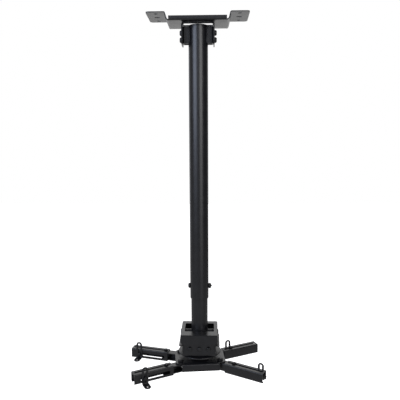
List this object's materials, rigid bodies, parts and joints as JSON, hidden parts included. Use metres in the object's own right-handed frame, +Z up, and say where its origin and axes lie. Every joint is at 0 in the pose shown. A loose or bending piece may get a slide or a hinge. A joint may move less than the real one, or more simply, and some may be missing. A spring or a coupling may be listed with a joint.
{
  "type": "projector ceiling mount",
  "caption": "Black telescopic ceiling mount for a projector: folded ceiling plate, two-piece pole, tilting and swivelling head, and swinging slotted arms with adjustable feet.",
  "frame": {"origin": "in the ceiling plane, at the centre of the ceiling plate's hole pattern, above the pole's axis", "axes": "+Z up along the pole, X along the ceiling plate's length, the front of the head towards -Y"},
  "size_m": [0.3797, 0.2234, 0.9432],
  "materials": {
    "black_powder_coat": "satin black powder coat",
    "black_fastener": "black oxide",
    "black_nylon": "plain"
  },
  "bodies": {
    "ceiling": {"ceiling_plate": "black_powder_coat", "hanger_yoke": "black_powder_coat", "pole_ears": "black_powder_coat", "yoke_bolts": "black_fastener", "ear_nuts": "black_fastener", "outer_tube": "black_powder_coat", "clamp_screw": "black_fastener", "clamp_set_screw": "black_fastener", "clamp_lock_nut": "black_fastener"},
    "lower_pole": {"inner_tube": "black_powder_coat", "pivot_bar": "black_powder_coat", "pitch_screws": "black_fastener"},
    "housing": {"tilt_housing": "black_powder_coat"},
    "cradle": {"roll_cradle": "black_powder_coat", "roll_pivot_screws": "black_fastener", "roll_lock_screws": "black_fastener", "swivel_disc": "black_powder_coat", "swivel_bolt": "black_fastener", "swivel_nut": "black_fastener"},
    "hub": {"hub_plate": "black_powder_coat", "swivel_boss": "black_powder_coat", "friction_washer": "black_nylon", "arm_pivot_bolts": "black_fastener", "arm_pivot_nuts": "black_fastener"},
    "stem_front_left": {"arm_stem_front_left": "black_powder_coat", "arm_lock_screw_front_left": "black_fastener"},
    "channel_front_left": {"arm_channel_front_left": "black_powder_coat"},
    "slider_front_left": {"foot_nut_front_left": "black_fastener", "foot_bolt_front_left": "black_fastener"},
    "foot_front_left": {"foot_strap_front_left": "black_powder_coat"},
    "stem_front_right": {"arm_stem_front_right": "black_powder_coat", "arm_lock_screw_front_right": "black_fastener"},
    "channel_front_right": {"arm_channel_front_right": "black_powder_coat"},
    "slider_front_right": {"foot_nut_front_right": "black_fastener", "foot_bolt_front_right": "black_fastener"},
    "foot_front_right": {"foot_strap_front_right": "black_powder_coat"},
    "stem_rear_left": {"arm_stem_rear_left": "black_powder_coat", "arm_lock_screw_rear_left": "black_fastener"},
    "channel_rear_left": {"arm_channel_rear_left": "black_powder_coat"},
    "slider_rear_left": {"foot_nut_rear_left": "black_fastener", "foot_bolt_rear_left": "black_fastener"},
    "foot_rear_left": {"foot_strap_rear_left": "black_powder_coat"},
    "stem_rear_right": {"arm_stem_rear_right": "black_powder_coat", "arm_lock_screw_rear_right": "black_fastener"},
    "channel_rear_right": {"arm_channel_rear_right": "black_powder_coat"},
    "slider_rear_right": {"foot_nut_rear_right": "black_fastener", "foot_bolt_rear_right": "black_fastener"},
    "foot_rear_right": {"foot_strap_rear_right": "black_powder_coat"}
  },
  "joints": [
    {"name": "pole_extend", "type": "slide", "parent": "ceiling", "child": "lower_pole", "axis": [0, 0, -1], "range_m": [-0.055, 0.48]},
    {"name": "head_pitch", "type": "hinge", "parent": "lower_pole", "child": "housing", "pos_m": [0, 0, -0.84], "axis": [1, 0, 0], "range_deg": [-15, 15]},
    {"name": "head_roll", "type": "hinge", "parent": "housing", "child": "cradle", "pos_m": [0, -0.0045, -0.868], "axis": [0, 1, 0], "range_deg": [-10, 10]},
    {"name": "head_swivel", "type": "hinge", "parent": "cradle", "child": "hub", "pos_m": [0, -0.0045, -0.9097], "axis": [0, 0, 1], "continuous": true},
    {"name": "arm_swing_front_left", "type": "hinge", "parent": "hub", "child": "stem_front_left", "pos_m": [-0.05067, -0.03899, -0.9237], "axis": [0, 0, 1], "range_deg": [-22, 23]},
    {"name": "arm_extend_front_left", "type": "slide", "parent": "stem_front_left", "child": "channel_front_left", "axis": [-0.8829, -0.4695, 0], "range_m": [-0.0105, 0.0082]},
    {"name": "foot_slide_front_left", "type": "slide", "parent": "channel_front_left", "child": "slider_front_left", "axis": [-0.8829, -0.4695, 0], "range_m": [-0.0657, 0.0057]},
    {"name": "foot_lift_front_left", "type": "slide", "parent": "slider_front_left", "child": "foot_front_left", "axis": [0, 0, 1], "range_m": [-0.024, 0.00625]},
    {"name": "arm_swing_front_right", "type": "hinge", "parent": "hub", "child": "stem_front_right", "pos_m": [0.05674, -0.0277, -0.9237], "axis": [0, 0, 1], "range_deg": [-10, 35]},
    {"name": "arm_extend_front_right", "type": "slide", "parent": "stem_front_right", "child": "channel_front_right", "axis": [0.8746, -0.4848, 0], "range_m": [-0.004, 0.0147]},
    {"name": "foot_slide_front_right", "type": "slide", "parent": "channel_front_right", "child": "slider_front_right", "axis": [0.8746, -0.4848, 0], "range_m": [-0.0707, 0.0007]},
    {"name": "foot_lift_front_right", "type": "slide", "parent": "slider_front_right", "child": "foot_front_right", "axis": [0, 0, 1], "range_m": [-0.022, 0.00825]},
    {"name": "arm_swing_rear_left", "type": "hinge", "parent": "hub", "child": "stem_rear_left", "pos_m": [-0.05674, 0.0187, -0.9237], "axis": [0, 0, 1], "range_deg": [-25, 20]},
    {"name": "arm_extend_rear_left", "type": "slide", "parent": "stem_rear_left", "child": "channel_rear_left", "axis": [-0.9703, 0.2419, 0], "range_m": [-0.0175, 0.0012]},
    {"name": "foot_slide_rear_left", "type": "slide", "parent": "channel_rear_left", "child": "slider_rear_left", "axis": [-0.9703, 0.2419, 0], "range_m": [-0.0697, 0.0017]},
    {"name": "foot_lift_rear_left", "type": "slide", "parent": "slider_rear_left", "child": "foot_rear_left", "axis": [0, 0, 1], "range_m": [-0.02975, 0.0005]},
    {"name": "arm_swing_rear_right", "type": "hinge", "parent": "hub", "child": "stem_rear_right", "pos_m": [0.05067, 0.02999, -0.9237], "axis": [0, 0, 1], "range_deg": [-20, 25]},
    {"name": "arm_extend_rear_right", "type": "slide", "parent": "stem_rear_right", "child": "channel_rear_right", "axis": [0.8988, 0.4384, 0], "range_m": [0, 0.0187]},
    {"name": "foot_slide_rear_right", "type": "slide", "parent": "channel_rear_right", "child": "slider_rear_right", "axis": [0.8988, 0.4384, 0], "range_m": [-0.0007, 0.0707]},
    {"name": "foot_lift_rear_right", "type": "slide", "parent": "slider_rear_right", "child": "foot_rear_right", "axis": [0, 0, 1], "range_m": [-0.0255, 0.00475]}
  ]
}
